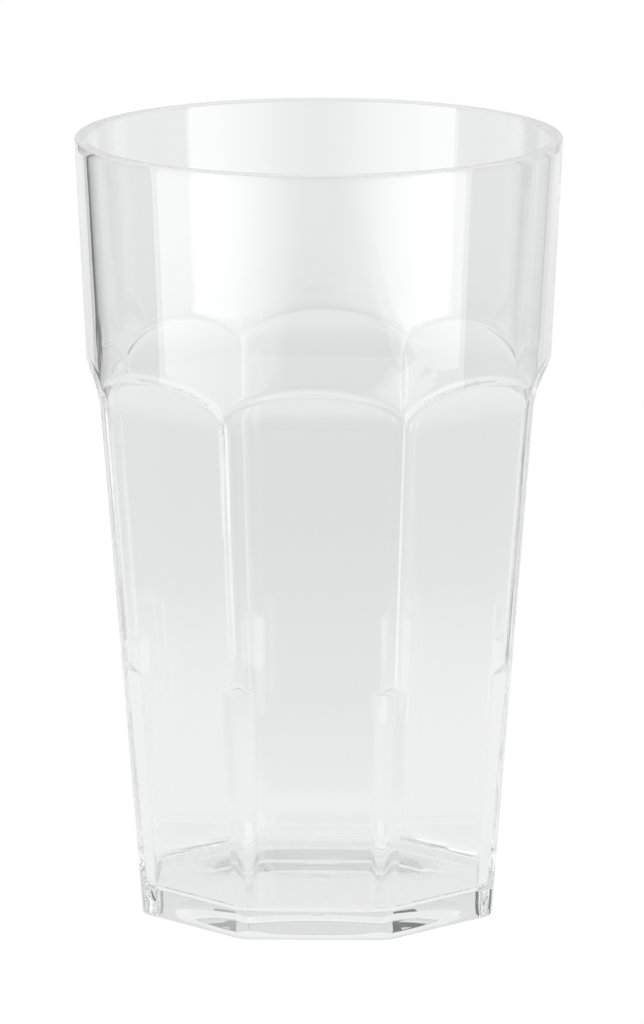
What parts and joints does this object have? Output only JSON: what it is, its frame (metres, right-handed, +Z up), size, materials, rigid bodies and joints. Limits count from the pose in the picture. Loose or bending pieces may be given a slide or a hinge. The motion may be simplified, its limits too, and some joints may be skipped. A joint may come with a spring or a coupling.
{
  "type": "faceted plastic tumbler",
  "caption": "Clear plastic stacking tumbler: flat facets with arched tops below a plain round band, stacking ledges inside, open at the rim, for cold drinks.",
  "frame": {"origin": "centre of the foot on the surface the tumbler stands on", "axes": "+Z up along the axis of the tumbler, towards the rim; -Y towards the facet that faces the viewer in the picture"},
  "size_m": [0.086, 0.086, 0.1382],
  "materials": {
    "clear_plastic": "clear, polished mould surface"
  },
  "bodies": {
    "root": {"tumbler": "clear_plastic"}
  },
  "joints": []
}
